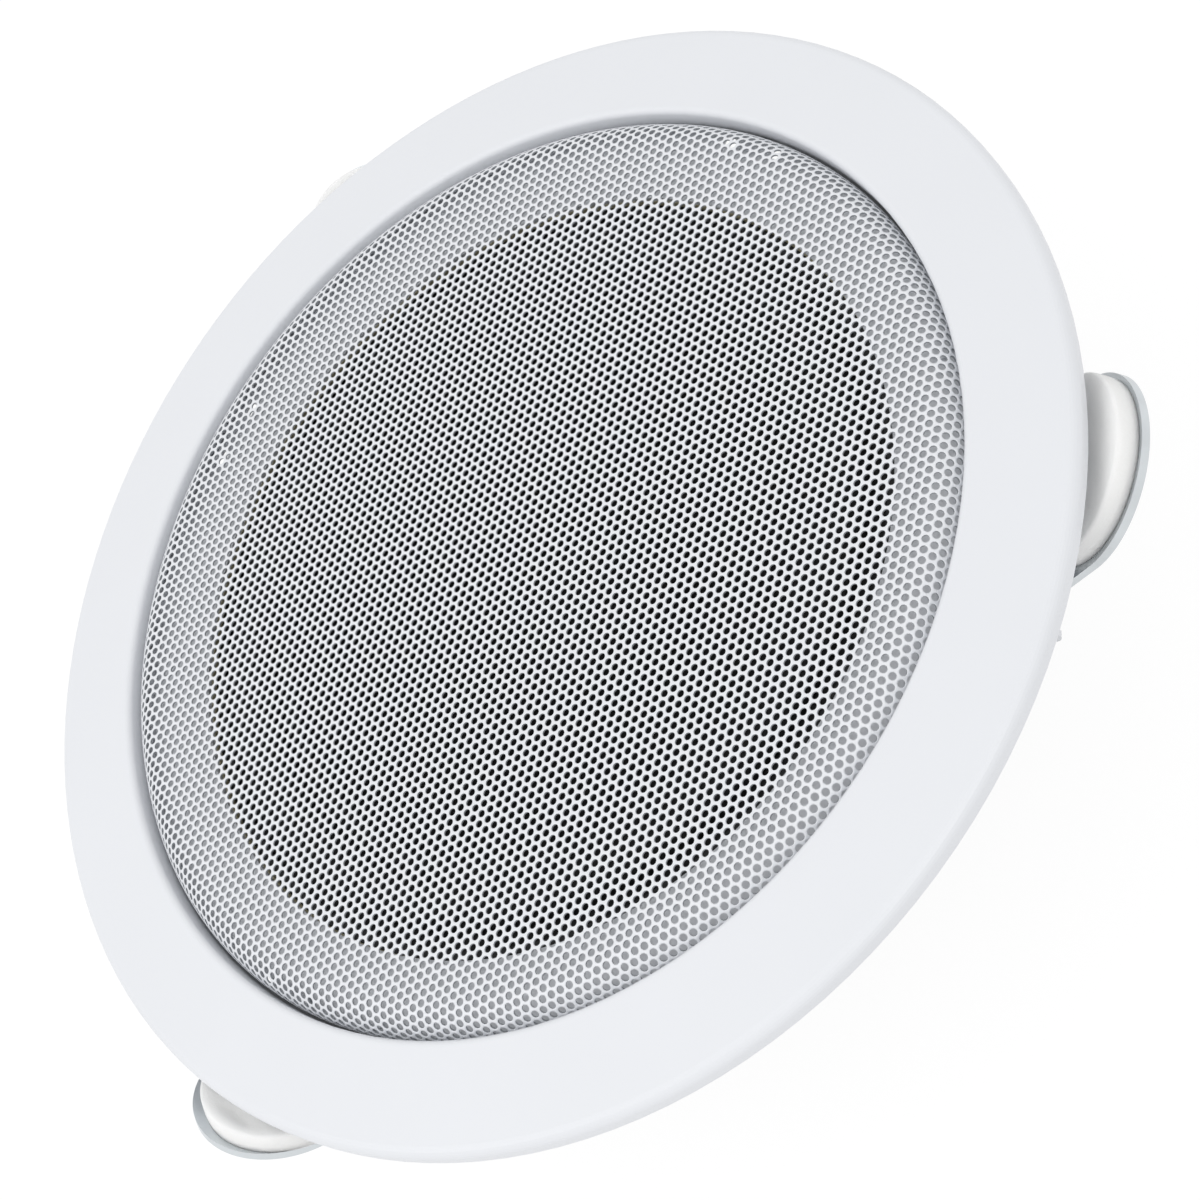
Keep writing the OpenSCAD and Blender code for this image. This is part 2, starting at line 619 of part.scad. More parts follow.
bezel();
grille();
gasket();
driver_frame();
surround();
cone();
dust_cap();
voice_coil();
spider();
top_plate();
magnet();
back_plate();
tag_board();
tag_rivet();
driver_tags();
tinsel_leads();
driver_nuts();
clip_bracket(1);  // clip_bracket_1
clip_bracket(2);  // clip_bracket_2
clip_bracket(3);  // clip_bracket_3
clip_pin(1);  // clip_pin_1
clip_pin(2);  // clip_pin_2
clip_pin(3);  // clip_pin_3
clip_spring(1);  // clip_spring_1
clip_spring(2);  // clip_spring_2
clip_spring(3);  // clip_spring_3
clip_arm(1);  // clip_arm_1
clip_arm(2);  // clip_arm_2
clip_arm(3);  // clip_arm_3
clip_pad(1);  // clip_pad_1
clip_pad(2);  // clip_pad_2
clip_pad(3);  // clip_pad_3
clip_rivets();
transformer_mount();
transformer_rivets();
transformer_core();
transformer_bobbin();
transformer_winding();
transformer_strap();
transformer_screws();
terminal_bracket();
terminal_block();
block_screw();
terminal_screws();
input_leads();
output_leads();
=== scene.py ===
# Flush ceiling loudspeaker: white flange, fine perforated grille, three sprung clips
import math
import bpy
import numpy as np
from mathutils import Matrix, Vector, noise


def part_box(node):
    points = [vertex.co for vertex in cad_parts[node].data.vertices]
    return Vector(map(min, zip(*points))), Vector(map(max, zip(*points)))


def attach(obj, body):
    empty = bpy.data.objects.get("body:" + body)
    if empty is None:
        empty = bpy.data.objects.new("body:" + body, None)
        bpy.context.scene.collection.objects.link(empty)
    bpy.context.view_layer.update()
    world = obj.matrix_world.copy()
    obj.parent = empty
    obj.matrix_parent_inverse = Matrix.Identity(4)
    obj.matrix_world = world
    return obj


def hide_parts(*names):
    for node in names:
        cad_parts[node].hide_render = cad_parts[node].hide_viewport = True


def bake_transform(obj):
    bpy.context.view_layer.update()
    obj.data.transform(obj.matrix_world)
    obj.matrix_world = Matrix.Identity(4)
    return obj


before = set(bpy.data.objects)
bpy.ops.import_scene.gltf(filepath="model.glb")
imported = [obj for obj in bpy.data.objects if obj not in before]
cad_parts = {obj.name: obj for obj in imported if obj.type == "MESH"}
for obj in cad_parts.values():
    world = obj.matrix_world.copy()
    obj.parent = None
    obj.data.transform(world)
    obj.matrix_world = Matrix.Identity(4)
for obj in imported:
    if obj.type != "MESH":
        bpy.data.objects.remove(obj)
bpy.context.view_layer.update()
mm = 0.001
print("frame loaded")


# Small helpers

def linearColour(hexCode):  # sRGB hex to a linear RGBA value
    parts = [int(hexCode[i:i + 2], 16) / 255 for i in (1, 3, 5)]
    return tuple(p / 12.92 if p <= 0.04045 else ((p + 0.055) / 1.055) ** 2.4
                 for p in parts) + (1.0,)


def darker(colour, share):
    return tuple(c * share for c in colour[:3]) + (1,)


def addNode(tree, kind, settings=None, values=None, links=None):
    node = tree.nodes.new(kind)
    for name, value in (settings or {}).items():
        setattr(node, name, value)
    for name, value in (values or {}).items():
        node.inputs[name].default_value = value
    for name, source in (links or {}).items():
        tree.links.new(source, node.inputs[name])
    return node


def newMaterial(name):
    material = bpy.data.materials.new(name)
    material.use_nodes = True
    tree = material.node_tree
    tree.nodes.clear()
    output = addNode(tree, "ShaderNodeOutputMaterial")
    return material, tree, output


def newObject(name, mesh, material, body):  # body is None for a piece that is not attached to a body
    piece = bpy.data.objects.new(name, mesh)
    bpy.context.scene.collection.objects.link(piece)
    mesh.materials.append(material)
    if body:
        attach(piece, body)
    return piece


def meshOf(name, points, faces, smooth=True):
    mesh = bpy.data.meshes.new(name)
    mesh.from_pydata([tuple(p) for p in points], [], [tuple(f) for f in faces])
    mesh.polygons.foreach_set("use_smooth", [smooth] * len(mesh.polygons))
    mesh.update()
    return mesh


def turnedMesh(name, outline, steps=256):  # a closed outline of radius and height, spun
    count = len(outline)
    points, faces = [], []
    for i in range(steps):
        angle = 2 * math.pi * i / steps
        points += [(r * math.cos(angle), r * math.sin(angle), z) for r, z in outline]
    for i in range(steps):
        here, there = i * count, (i + 1) % steps * count
        for k in range(count):
            nextK = (k + 1) % count
            faces.append((here + k, there + k, there + nextK, here + nextK))
    return meshOf(name, points, faces)


def arcPoints(centre, radius, start, end, steps):  # angles in degrees
    return [(centre[0] + radius * math.cos(math.radians(start + (end - start) * i / steps)),
             centre[1] + radius * math.sin(math.radians(start + (end - start) * i / steps)))
            for i in range(steps + 1)]


def smoothPath(points, each=6):  # a curve through given points
    points = [Vector(p) for p in points]
    ends = [points[0] * 2 - points[1]] + points + [points[-1] * 2 - points[-2]]
    path = []
    for i in range(1, len(ends) - 2):
        a, b, c, d = ends[i - 1:i + 3]
        for k in range(each):
            t = k / each
            path.append(0.5 * (2 * b + (c - a) * t + (2 * a - 5 * b + 4 * c - d) * t ** 2
                               + (3 * b - a - 3 * c + d) * t ** 3))
    return path + [points[-1]]


def tubeMesh(name, path, radius, sides=12):  # a round wire along a path, with closed ends
    path = [Vector(p) for p in path]
    points, faces = [], []
    side = None
    for i, p in enumerate(path):
        way = (path[min(i + 1, len(path) - 1)] - path[max(i - 1, 0)]).normalized()
        side = way.orthogonal() if side is None else side - way * side.dot(way)
        side.normalize()
        other = way.cross(side)
        for k in range(sides):
            angle = 2 * math.pi * k / sides
            points.append(p + radius * (math.cos(angle) * side + math.sin(angle) * other))
    for i in range(len(path) - 1):
        for k in range(sides):
            a, b = i * sides + k, i * sides + (k + 1) % sides
            faces.append((a, b, b + sides, a + sides))
    faces.append(tuple(reversed(range(sides))))
    faces.append(tuple(range(len(points) - sides, len(points))))
    return meshOf(name, points, faces)


# Camera

cameraSet = {
    "place": (-0.1548, -0.1974, 0.3227),
    "heading": 51.52,  # degrees from +X towards +Y
    "pitch": -48.65,
    "roll": -54.93,
    "lens": 73.17,
    "sensor": 36,
    "nearest": 0.01,
}
cameraData = bpy.data.cameras.new("camera")
cameraData.lens = cameraSet["lens"]
cameraData.sensor_width = cameraSet["sensor"]
cameraData.clip_start = cameraSet["nearest"]
camera = bpy.data.objects.new("camera", cameraData)
bpy.context.scene.collection.objects.link(camera)
camera.matrix_world = (
    Matrix.Translation(cameraSet["place"])
    @ Matrix.Rotation(math.radians(cameraSet["heading"] - 90), 4, "Z")
    @ Matrix.Rotation(math.radians(90 + cameraSet["pitch"]), 4, "X")
    @ Matrix.Rotation(math.radians(cameraSet["roll"]), 4, "Z"))
bpy.context.scene.camera = camera
bpy.context.scene.view_settings.view_transform = "Standard"
print("camera set")


# Materials: each starts from what the real finish is

def addGrain(tree, size, strength, detail=2.0):  # fine bump from noise of a real size in metres
    where = addNode(tree, "ShaderNodeTexCoord")
    grain = addNode(tree, "ShaderNodeTexNoise", values={"Scale": 1 / size, "Detail": detail},
                    links={"Vector": where.outputs["Object"]})
    return grain, addNode(tree, "ShaderNodeBump",
                          values={"Strength": strength, "Distance": size * 0.2},
                          links={"Height": grain.outputs["Fac"]})


def paintedWellShade(tree, where, well):  # painted shade: 1 outside the well, darker shares on its floor and in its corner
    parts = addNode(tree, "ShaderNodeSeparateXYZ", links={"Vector": where.outputs["Object"]})
    flat = addNode(tree, "ShaderNodeVectorMath", {"operation": "MULTIPLY"},
                   {1: (1.0, 1.0, 0.0)}, {0: where.outputs["Object"]})
    reach = addNode(tree, "ShaderNodeVectorMath", {"operation": "LENGTH"},
                    links={0: flat.outputs["Vector"]})
    shade = addNode(tree, "ShaderNodeMapRange",
                    values={"From Min": well["corner"] - well["cornerFade"],
                            "From Max": well["corner"],
                            "To Min": well["floorShare"], "To Max": well["cornerShadeShare"]},
                    links={"Value": reach.outputs["Value"]})
    inside = addNode(tree, "ShaderNodeMath", {"operation": "LESS_THAN"}, {1: well["radius"]},
                     {0: reach.outputs["Value"]})
    above = addNode(tree, "ShaderNodeMath", {"operation": "GREATER_THAN"}, {1: well["low"]},
                    {0: parts.outputs["Z"]})
    below = addNode(tree, "ShaderNodeMapRange",
                    values={"From Min": well["high"],
                            "From Max": well["high"] - well["highFade"]},
                    links={"Value": parts.outputs["Z"]})
    both = addNode(tree, "ShaderNodeMath", {"operation": "MULTIPLY"},
                   links={0: inside.outputs[0], 1: above.outputs[0]})
    within = addNode(tree, "ShaderNodeMath", {"operation": "MULTIPLY"},
                     links={0: both.outputs[0], 1: below.outputs["Result"]})
    mixed = addNode(tree, "ShaderNodeMix", {"data_type": "FLOAT"}, {2: 1.0},
                    {0: within.outputs[0], 3: shade.outputs["Result"]})
    return mixed.outputs[0]


def paintedSteel(name, hexCode, peel=1.1 * mm, roughness=0.36, peelStrength=0.05,
                 cloudSize=18 * mm, cloudShare=0.975, well=None):
    # Powder coat on steel: an even skin with a faint orange peel and a soft gloss.
    # In the corner of a well the colour is darkened: painted shade
    material, tree, output = newMaterial(name)
    grain, bump = addGrain(tree, peel, peelStrength)
    where = addNode(tree, "ShaderNodeTexCoord")
    cloud = addNode(tree, "ShaderNodeTexNoise", values={"Scale": 1 / cloudSize, "Detail": 3.0},
                    links={"Vector": where.outputs["Object"]})
    base = linearColour(hexCode)
    tint = addNode(tree, "ShaderNodeMix", {"data_type": "RGBA"},
                   {6: base, 7: darker(base, cloudShare)},
                   {0: cloud.outputs["Fac"]})
    # painted shade: the colour is multiplied down inside a well, where shade falls in the groove
    if well:
        tint = addNode(tree, "ShaderNodeMix", {"data_type": "RGBA", "blend_type": "MULTIPLY"},
                       {0: 1.0}, {6: tint.outputs[2], 7: paintedWellShade(tree, where, well)})
    rough = addNode(tree, "ShaderNodeMapRange",
                    values={"To Min": roughness - 0.04, "To Max": roughness + 0.05},
                    links={"Value": grain.outputs["Fac"]})
    skin = addNode(tree, "ShaderNodeBsdfPrincipled", values={"IOR": 1.5},
                   links={"Base Color": tint.outputs[2], "Roughness": rough.outputs["Result"],
                          "Normal": bump.outputs["Normal"]})
    tree.links.new(skin.outputs["BSDF"], output.inputs["Surface"])
    return material


def zincSteel(name, hexCode="#dee3e6", grain=0.5 * mm, roughness=0.32, drawn=6.0,
              bloomSize=6 * mm, bloomShare=0.78):
    # Zinc or tin plate on drawn metal: softly mottled, with streaks of the drawing
    material, tree, output = newMaterial(name)
    where = addNode(tree, "ShaderNodeTexCoord")
    stretch = addNode(tree, "ShaderNodeMapping", values={"Scale": (1.0, 1.0, drawn)},
                      links={"Vector": where.outputs["Object"]})
    streak = addNode(tree, "ShaderNodeTexNoise", values={"Scale": 1 / grain, "Detail": 4.0},
                     links={"Vector": stretch.outputs["Vector"]})
    bloom = addNode(tree, "ShaderNodeTexNoise", values={"Scale": 1 / bloomSize, "Detail": 3.0},
                    links={"Vector": where.outputs["Object"]})
    base = linearColour(hexCode)
    tint = addNode(tree, "ShaderNodeMix", {"data_type": "RGBA"},
                   {6: base, 7: darker(base, bloomShare)},
                   {0: bloom.outputs["Fac"]})
    rough = addNode(tree, "ShaderNodeMapRange",
                    values={"To Min": roughness - 0.1, "To Max": roughness + 0.12},
                    links={"Value": streak.outputs["Fac"]})
    bump = addNode(tree, "ShaderNodeBump", values={"Strength": 0.12, "Distance": 0.02 * mm},
                   links={"Height": streak.outputs["Fac"]})
    metal = addNode(tree, "ShaderNodeBsdfPrincipled", values={"Metallic": 1.0},
                    links={"Base Color": tint.outputs[2], "Roughness": rough.outputs["Result"],
                           "Normal": bump.outputs["Normal"]})
    tree.links.new(metal.outputs["BSDF"], output.inputs["Surface"])
    return material


def fibreStock(name, hexCode, dark=0.6, fibre=0.4 * mm, roughness=0.85, bumpStrength=0.35,
               scatter=0.0):
    # Pulp, board, foam or cloth: matt, with a fibre or cell that catches the light
    material, tree, output = newMaterial(name)
    where = addNode(tree, "ShaderNodeTexCoord")
    fibres = addNode(tree, "ShaderNodeTexNoise", values={"Scale": 1 / fibre, "Detail": 5.0},
                     links={"Vector": where.outputs["Object"]})
    base = linearColour(hexCode)
    tint = addNode(tree, "ShaderNodeMix", {"data_type": "RGBA"},
                   {6: darker(base, dark), 7: base},
                   {0: fibres.outputs["Fac"]})
    bump = addNode(tree, "ShaderNodeBump",
                   values={"Strength": bumpStrength, "Distance": fibre * 0.3},
                   links={"Height": fibres.outputs["Fac"]})
    stock = addNode(tree, "ShaderNodeBsdfPrincipled", values={"Roughness": roughness, "IOR": 1.45},
                    links={"Base Color": tint.outputs[2], "Normal": bump.outputs["Normal"]})
    if scatter:  # open cells spread light below the skin
        stock.inputs["Subsurface Weight"].default_value = 1.0
        stock.inputs["Subsurface Radius"].default_value = (1.0, 1.0, 1.0)
        stock.inputs["Subsurface Scale"].default_value = scatter
    tree.links.new(stock.outputs["BSDF"], output.inputs["Surface"])
    return material


def mouldedPlastic(name, hexCode, roughness=0.45, grain=0.6 * mm, bumpStrength=0.06,
                   grainShare=0.9):
    # Moulded or extruded plastic: an even colour with a faint mould texture
    material, tree, output = newMaterial(name)
    texture, bump = addGrain(tree, grain, bumpStrength)
    base = linearColour(hexCode)
    tint = addNode(tree, "ShaderNodeMix", {"data_type": "RGBA"},
                   {6: base, 7: darker(base, grainShare)},
                   {0: texture.outputs["Fac"]})
    plastic = addNode(tree, "ShaderNodeBsdfPrincipled",
                      values={"Roughness": roughness, "IOR": 1.46},
                      links={"Base Color": tint.outputs[2], "Normal": bump.outputs["Normal"]})
    tree.links.new(plastic.outputs["BSDF"], output.inputs["Surface"])
    return material


whiteCoat = paintedSteel("powder_coated_steel", "#eaecf0")
# the front coat paints shade into the corner of the groove between grille and lip
frontCoat = paintedSteel("powder_coated_front_painted_groove_shade", "#eaecf0", well={
    "radius": 74.06 * mm, "low": 56.6 * mm, "high": 58.8 * mm, "highFade": 1.2 * mm,
    "corner": 73.5 * mm, "cornerFade": 0.4 * mm, "floorShare": 1.0, "cornerShadeShare": 0.4})
grilleCoat = paintedSteel("coated_perforated_steel", "#eaecf0", peel=0.35 * mm, roughness=0.4)
# the hole walls are coloured darker than the face coat: painted shade inside the holes
boreShadeCoat = paintedSteel("coated_hole_walls_painted_shade", "#a0a4a9", peel=0.35 * mm, roughness=0.5)
blackEnamel = paintedSteel("black_enamelled_steel", "#1b1c1e", peel=0.8 * mm, roughness=0.3)
zincPlate = zincSteel("zinc_plated_steel")
springSteel = zincSteel("zinc_plated_spring_wire", "#a9b0b3", roughness=0.3)
coreSteel = zincSteel("oxidised_core_laminations", "#5b6064", grain=0.35 * mm, roughness=0.5)
tinnedBrass = zincSteel("tinned_brass", "#cfc6a2", roughness=0.35)
copperWire = zincSteel("enamelled_copper", "#b8713f", roughness=0.35)
ferriteGrey = fibreStock("ground_ferrite", "#3b3c3f", dark=0.75, fibre=0.3 * mm, roughness=0.6,
                         bumpStrength=0.15)
blackPulp = fibreStock("black_paper_pulp", "#0b0b0c", fibre=0.5 * mm, roughness=0.9)
blackRubber = mouldedPlastic("black_rubber_roll", "#08080a", roughness=0.7)
tanBoard = fibreStock("tan_chipboard", "#c3bb9c", dark=0.7, fibre=0.6 * mm)
spiderCloth = fibreStock("resin_dipped_cotton", "#a8843c", dark=0.6, fibre=0.35 * mm)
brownBoard = fibreStock("resin_bonded_paper", "#6b4424", dark=0.8, fibre=0.4 * mm, roughness=0.5,
                        bumpStrength=0.1)
whiteFoam = fibreStock("white_cell_foam", "#f8f8f6", dark=0.96, fibre=0.35 * mm, roughness=0.95,
                       bumpStrength=0.5, scatter=2.5 * mm)
nylonCream = mouldedPlastic("moulded_nylon", "#e2dcc6")
yellowTape = mouldedPlastic("polyester_winding_tape", "#d9ac2e", roughness=0.3)
blockWhite = mouldedPlastic("moulded_polyethylene", "#e6e6df", roughness=0.5)
blackPvc = mouldedPlastic("black_pvc_sleeve", "#17171a", roughness=0.4)
redPvc = mouldedPlastic("red_pvc_sleeve", "#a31515", roughness=0.4)

finishOf = {
    "bezel": frontCoat, "grille": grilleCoat, "gasket": tanBoard, "driver_frame": blackEnamel,
    "surround": blackRubber, "cone": blackPulp, "dust_cap": blackPulp, "voice_coil": copperWire,
    "spider": spiderCloth, "top_plate": zincPlate, "magnet": ferriteGrey,
    "back_plate": zincPlate, "tag_board": brownBoard, "driver_tags": tinnedBrass,
    "tinsel_leads": copperWire, "driver_nuts": zincPlate, "clip_rivets": whiteCoat,
    "transformer_mount": zincPlate, "transformer_rivets": whiteCoat,
    "transformer_core": coreSteel, "transformer_bobbin": nylonCream,
    "transformer_winding": yellowTape, "transformer_strap": zincPlate,
    "transformer_screws": zincPlate, "terminal_bracket": zincPlate, "tag_rivet": zincPlate,
    "block_screw": zincPlate, "terminal_block": blockWhite, "terminal_screws": tinnedBrass,
    "input_leads": blackPvc, "output_leads": redPvc,
}
clipNumbers = (1, 2, 3)
for n in clipNumbers:
    finishOf[f"clip_bracket_{n}"] = whiteCoat
    finishOf[f"clip_pin_{n}"] = zincPlate
    finishOf[f"clip_spring_{n}"] = springSteel
    finishOf[f"clip_arm_{n}"] = zincPlate
    finishOf[f"clip_pad_{n}"] = whiteFoam
for nodeName, finish in finishOf.items():
    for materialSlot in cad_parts[nodeName].material_slots:
        materialSlot.material = finish
print("materials made")


# Perforated grille: every hole of the real sheet, rolled over the shoulder

grilleSet = {
    "pitch": 1.531 * mm,
    "hole": 1.13 * mm,
    "turn": -10.0,  # degrees from +X to a row of holes
    "sides": 10,
    "sheet": 0.5 * mm,
    "bore": 0.28 * mm,  # straight part of a punched hole, the rest breaks out wider
    "rimWide": 0.13 * mm,  # the coat rounds over the edge of a hole
    "rimDeep": 0.08 * mm,
    "shoulder": 5 * mm,
    "lastHole": 8.4 * mm,  # how far the holes run along the shoulder and skirt
    "skirtFoot": 4.9 * mm,  # below the top of the bezel
    "skirtBend": 3,  # degrees of the shoulder that belong to the plain skirt
    "coatFill": 0.3 * mm,  # the coat fills part of the groove round the pan
    "inset": 0.04 * mm,  # keeps skirt and tabs just inside the pan
    "tabAngles": (60, 150, 240, 330),
    "tabWidth": 7 * mm,
    "tabLength": 3.5 * mm,
    "tabBend": 0.3 * mm,
    "tabLap": 0.4 * mm,  # of each tab behind the skirt
    "tabSteps": 8,
    "arcSteps": 8,
}
grilleLow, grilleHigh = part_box("grille")
tabRadius = grilleHigh.x
panRadius = tabRadius + grilleSet["coatFill"]
panTop = grilleHigh.z
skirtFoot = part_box("bezel")[1].z - grilleSet["skirtFoot"]


def panPoints(flat):  # flat sheet positions to the formed pan, with normals
    s = grilleSet["shoulder"]
    faceRadius = panRadius - s
    run = np.hypot(flat[:, 0], flat[:, 1])
    ways = flat / np.maximum(run, 1e-9)[:, None]
    bend = np.clip((run - faceRadius) / s, 0, math.pi / 2)
    straight = np.maximum(run - faceRadius - s * math.pi / 2, 0)
    radius = np.where(run > faceRadius, faceRadius + s * np.sin(bend), run)
    height = panTop - s * (1 - np.cos(bend)) - straight
    points = np.c_[ways * radius[:, None], height]
    normals = np.c_[ways * np.sin(bend)[:, None], np.cos(bend)]
    return points, normals


def grilleHoles():  # lattice cells: centres, hexagon corners and their shared indices
    g = grilleSet
    reach = panRadius - g["shoulder"] + g["lastHole"]
    n = int(reach / g["pitch"] * 1.3) + 2  # rows enough for the slanted lattice
    i, j = np.meshgrid(np.arange(-n, n + 1), np.arange(-n, n + 1), indexing="ij")
    first, second = math.radians(g["turn"]), math.radians(g["turn"] + 60)

    def spot(i, j):
        return g["pitch"] * (i[..., None] * np.array([math.cos(first), math.sin(first)])
                             + j[..., None] * np.array([math.cos(second), math.sin(second)]))

    centres = spot(i, j)
    kept = np.hypot(centres[..., 0], centres[..., 1]) < reach
    upper = (spot(i, j) + spot(i + 1, j) + spot(i, j + 1)) / 3
    lower = (spot(i + 1, j) + spot(i, j + 1) + spot(i + 1, j + 1)) / 3
    size = 2 * n + 1
    upperIndex = np.arange(size * size).reshape(size, size)
    lowerIndex = upperIndex + size * size
    ii, jj = np.nonzero(kept)
    corners = np.stack([upperIndex[ii, jj], lowerIndex[ii - 1, jj], upperIndex[ii - 1, jj],
                        lowerIndex[ii - 1, jj - 1], upperIndex[ii, jj - 1],
                        lowerIndex[ii, jj - 1]], axis=1)
    allCorners = np.concatenate([upper.reshape(-1, 2), lower.reshape(-1, 2)])
    used, corners = np.unique(corners, return_inverse=True)
    return centres[kept], allCorners[used], corners.reshape(-1, 6)


def ringTriangles(outer, inner):  # triangles between two rings of different counts
    triangles = []
    a = b = 0
    while a < outer or b < inner:
        if b == inner or (a < outer and (a + 1) / outer <= (b + 1) / inner):
            triangles.append((("o", a % outer), ("o", (a + 1) % outer), ("i", b % inner)))
            a += 1
        else:
            triangles.append((("o", a % outer), ("i", (b + 1) % inner), ("i", b % inner)))
            b += 1
    return triangles


def buildTab(k):  # one tab of the skirt, bent in under the baffle
    g = grilleSet
    outer = tabRadius - g["inset"]
    low, bend, top = grilleLow.z, g["tabBend"], skirtFoot + g["tabLap"]
    thick = g["sheet"] - g["inset"]
    outline = [(outer - thick, top), (outer, top)]
    outline += arcPoints((outer - thick - bend, low + thick + bend), thick + bend, 0, -90, 6)
    outline += [(tabRadius - g["tabLength"], low), (tabRadius - g["tabLength"], low + thick)]
    outline += arcPoints((outer - thick - bend, low + thick + bend), bend, -90, 0, 6)
    middle, span = math.radians(g["tabAngles"][k]), g["tabWidth"] / tabRadius
    steps = g["tabSteps"]
    points, faces = [], []
    for i in range(steps + 1):
        angle = middle + span * (i / steps - 0.5)
        points += [(r * math.cos(angle), r * math.sin(angle), z) for r, z in outline]
    count = len(outline)
    for i in range(steps):
        for j in range(count):
            a, b = i * count + j, i * count + (j + 1) % count
            faces.append((a, a + count, b + count, b))
    faces.append(tuple(reversed(range(count))))
    faces.append(tuple(range(steps * count, (steps + 1) * count)))
    name = f"grille_tab_{k + 1}"
    return newObject(name, meshOf(name, points, faces, smooth=False), grilleCoat, "housing")


def buildGrille():
    g = grilleSet
    centres, corners, cells = grilleHoles()
    count, sides = len(centres), g["sides"]
    start = math.radians(g["turn"] + 30)
    angles = start + 2 * math.pi * np.arange(sides) / sides
    circle = g["hole"] / 2 * np.c_[np.cos(angles), np.sin(angles)]
    wide = circle * (1 + g["rimWide"] / (g["hole"] / 2))
    cornerPoints, _ = panPoints(corners)
    rimPoints, _ = panPoints((centres[:, None, :] + wide[None]).reshape(-1, 2))
    edgePoints, _ = panPoints((centres[:, None, :] + circle[None]).reshape(-1, 2))
    _, holeNormals = panPoints(centres)
    down = np.repeat(holeNormals, sides, axis=0)
    edgePoints = edgePoints - down * g["rimDeep"]
    backPoints = edgePoints - down * g["bore"]
    base = len(cornerPoints)
    faces = []
    for triangle in ringTriangles(6, sides):
        columns = [cells[:, k] if kind == "o" else base + np.arange(count) * sides + k
                   for kind, k in triangle]
        faces.append(np.stack(columns, axis=1))
    sheetMesh = meshOf("grille_sheet", np.concatenate([cornerPoints, rimPoints]),
                       np.concatenate(faces).tolist())
    sheet = newObject("grille_sheet", sheetMesh, grilleCoat, "housing")
    band = []
    ring = np.arange(count) * sides
    for k in range(sides):
        a, b = ring + k, ring + (k + 1) % sides
        band.append(np.stack([a, b, b + count * sides, a + count * sides], axis=1))
    band = np.concatenate(band).tolist()
    rimMesh = meshOf("grille_hole_rims", np.concatenate([rimPoints, edgePoints]), band)
    rims = newObject("grille_hole_rims", rimMesh, grilleCoat, "housing")
    wallMesh = meshOf("grille_hole_walls", np.concatenate([edgePoints, backPoints]), band)
    bores = newObject("grille_hole_walls", wallMesh, boreShadeCoat, "housing")
    # The plain skirt below the last holes
    outer = panRadius - g["inset"]
    s = g["shoulder"] - g["inset"]
    centre = (panRadius - g["shoulder"], panTop - g["shoulder"])
    outline = [(outer - g["sheet"], skirtFoot), (outer, skirtFoot)]
    outline += arcPoints(centre, s, 0, g["skirtBend"], g["arcSteps"])
    outline += arcPoints(centre, s - g["sheet"] + g["inset"], g["skirtBend"], 0,
                         g["arcSteps"])
    skirt = newObject("grille_skirt", turnedMesh("grille_skirt", outline), grilleCoat,
                      "housing")
    print("grille holes:", count)
    return [sheet, rims, bores, skirt] + [buildTab(k) for k in range(len(g["tabAngles"]))]


for piece in buildGrille():
    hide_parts("grille")


# Soft rings between frame and cone, cut into sectors, and the tinsel leads, as pieces without a
# body

softSet = {
    # fixed and moving: how far from the axis the frame ends and the cone begins
    "surround": {"sectors": 24, "fixed": 59 * mm, "moving": 49.5 * mm, "slot": "black_foam"},
    "spider": {"sectors": 12, "fixed": 32 * mm, "moving": 14.5 * mm, "slot": "spider_cloth"},
    "tinsel": {"turn": 120, "fixed": 47 * mm, "moving": 31 * mm},  # turn in degrees
}


def copyFaces(name, source, chosen):  # a mesh of the chosen faces, in world positions
    place = source.matrix_world
    used = sorted({v for face in chosen for v in face})
    index = {v: i for i, v in enumerate(used)}
    return meshOf(name, [place @ source.data.vertices[v].co for v in used],
                  [[index[v] for v in face] for face in chosen])


def bendSectors(nodeName):  # the ring cut into wedges, each a piece without a body
    c = softSet[nodeName]
    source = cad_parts[nodeName]
    step = 2 * math.pi / c["sectors"]
    groups = [[] for _ in range(c["sectors"])]
    for polygon in source.data.polygons:
        middle = source.matrix_world @ polygon.center
        turn = math.atan2(middle.y, middle.x) % (2 * math.pi)
        groups[int(turn / step) % c["sectors"]].append(tuple(polygon.vertices))
    for k, faces in enumerate(groups):
        name = f"{nodeName}_sector_{k + 1}"
        sector = newObject(name, copyFaces(name, source, faces), finishOf[nodeName], None)
        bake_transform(sector)
        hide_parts(nodeName)


def bendLeads():
    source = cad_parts["tinsel_leads"]
    leads = newObject("tinsel_pair", copyFaces(
        "tinsel_pair", source, [tuple(q.vertices) for q in source.data.polygons]),
        finishOf["tinsel_leads"], None)
    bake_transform(leads)
    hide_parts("tinsel_leads")


for nodeName in ("surround", "spider"):
    bendSectors(nodeName)
bendLeads()


# Clips: foam pads, torsion springs and the brackets that carry them

